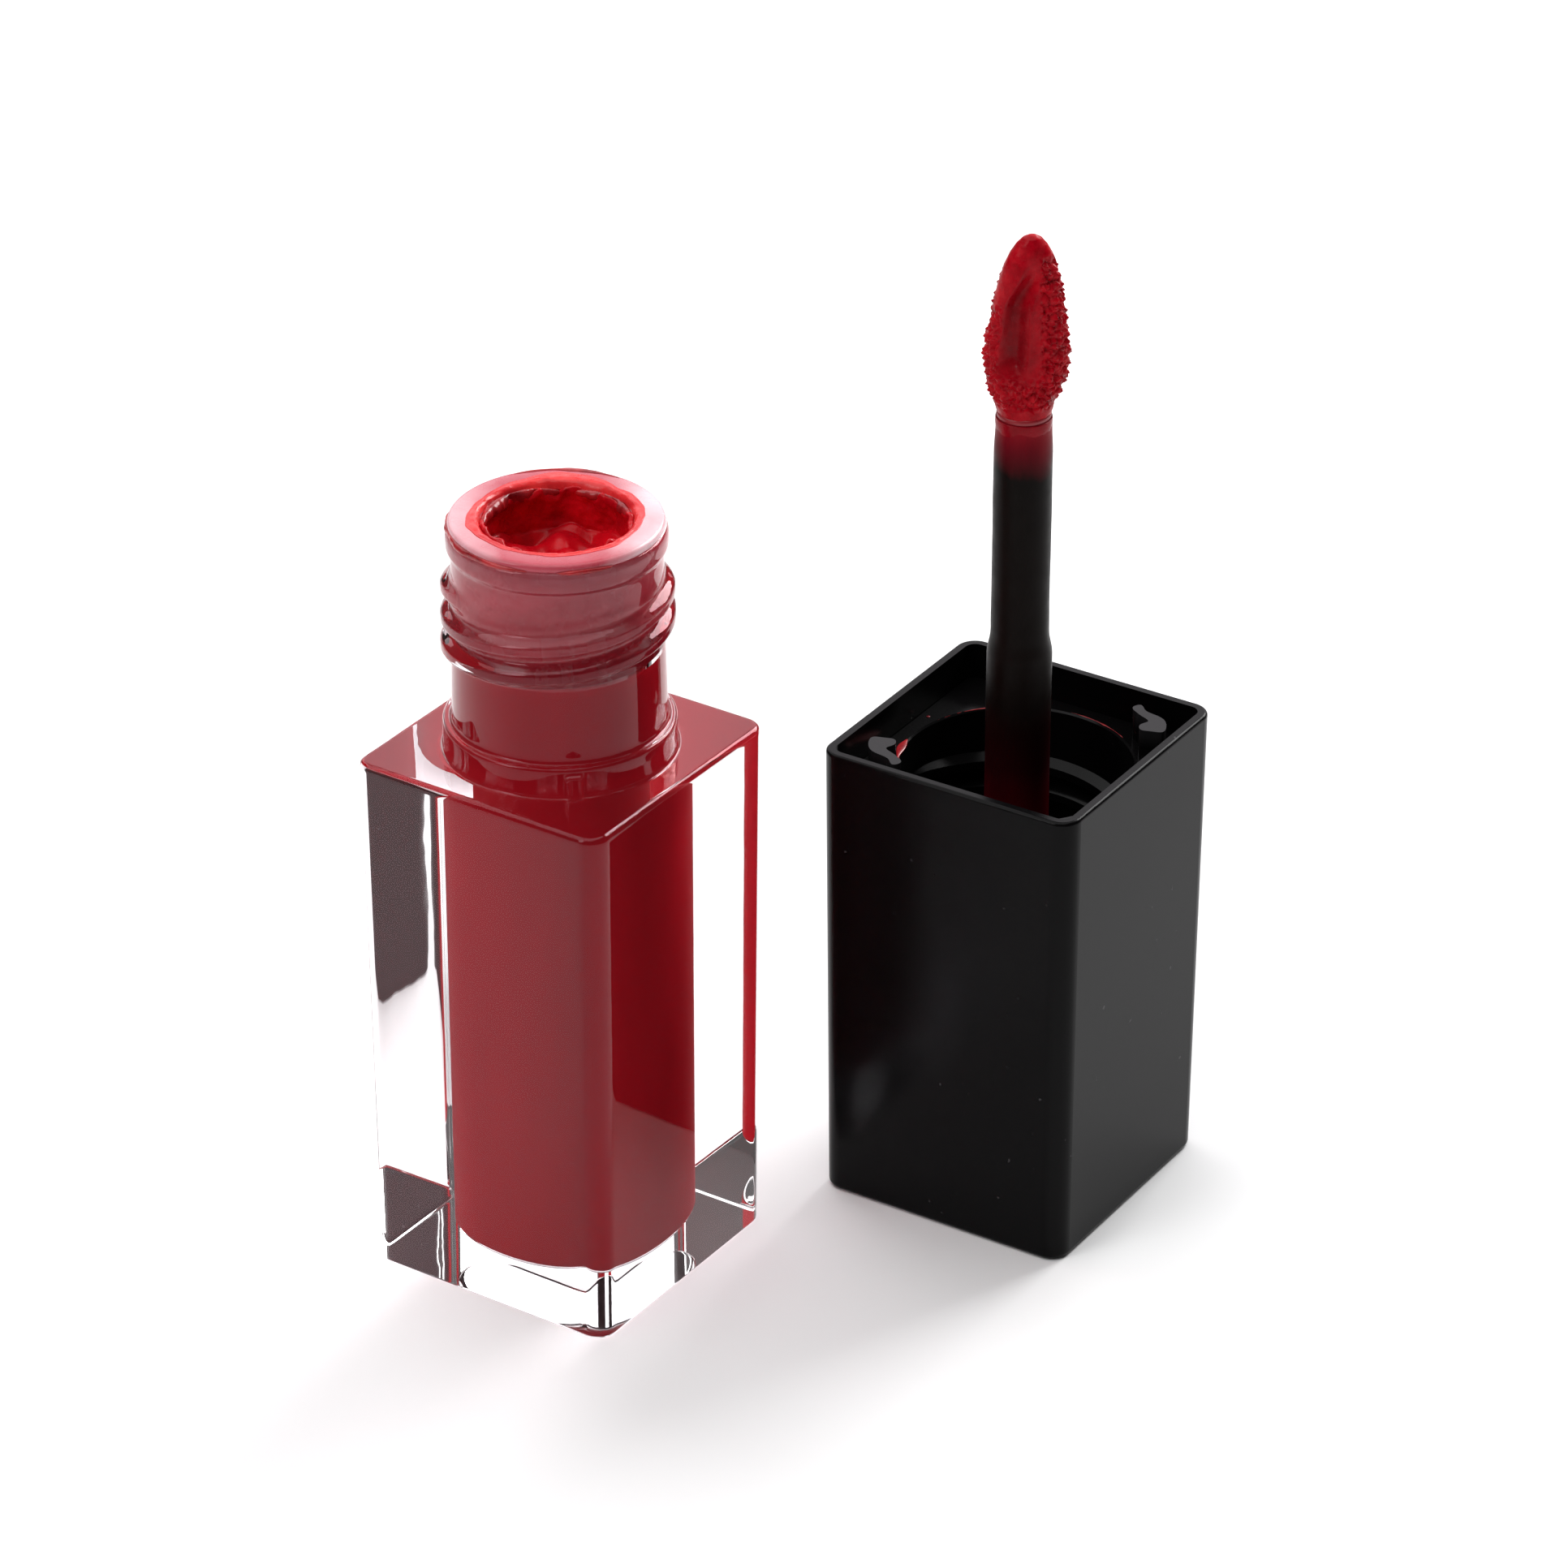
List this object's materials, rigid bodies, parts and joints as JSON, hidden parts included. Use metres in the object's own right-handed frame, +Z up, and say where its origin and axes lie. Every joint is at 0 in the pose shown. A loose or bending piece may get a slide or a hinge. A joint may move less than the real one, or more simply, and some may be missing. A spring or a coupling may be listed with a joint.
{
  "type": "lipstick case",
  "caption": "Square lip-colour tube standing open: thick clear bottle with a threaded neck, and its black screw cap upside down beside it with the applicator wand up.",
  "frame": {"origin": "centre of the bottle's base, on the table", "axes": "+Z up along the bottle's axis; +X and +Y square to the bottle's faces, towards the cap's side"},
  "size_m": [0.0408, 0.0456, 0.0725],
  "materials": {
    "clear_plastic": "polished clear",
    "wiper_plastic": "soft translucent",
    "lip_colour": "wet cream",
    "black_plastic": "gloss black",
    "insert_plastic": "gloss black",
    "liner_foam": "matt",
    "stem_plastic": "satin black",
    "core_plastic": "soaked in colour",
    "flock": "short flock soaked in colour"
  },
  "bodies": {
    "bottle": {"bottle": "clear_plastic", "wiper_insert": "wiper_plastic", "lip_colour_fill": "lip_colour"},
    "wand_cap": {"cap_shell": "black_plastic", "inner_cap": "insert_plastic", "seal_liner": "liner_foam", "stem": "stem_plastic"},
    "applicator": {"applicator_core": "core_plastic", "applicator_flock": "flock"}
  },
  "joints": [
    {"name": "cap_swing", "type": "hinge", "parent": "bottle", "child": "wand_cap", "pos_m": [0.01025, 0.01265, 0.066], "axis": [0.777, -0.6296, 0], "range_deg": [0, 180]},
    {"name": "applicator_flex", "type": "hinge", "parent": "wand_cap", "child": "applicator", "pos_m": [0.0205, 0.0253, 0.0596], "axis": [0.829, 0.5592, 0], "range_deg": [-20, 20], "stiffness_Nm_per_rad": 0.02}
  ]
}
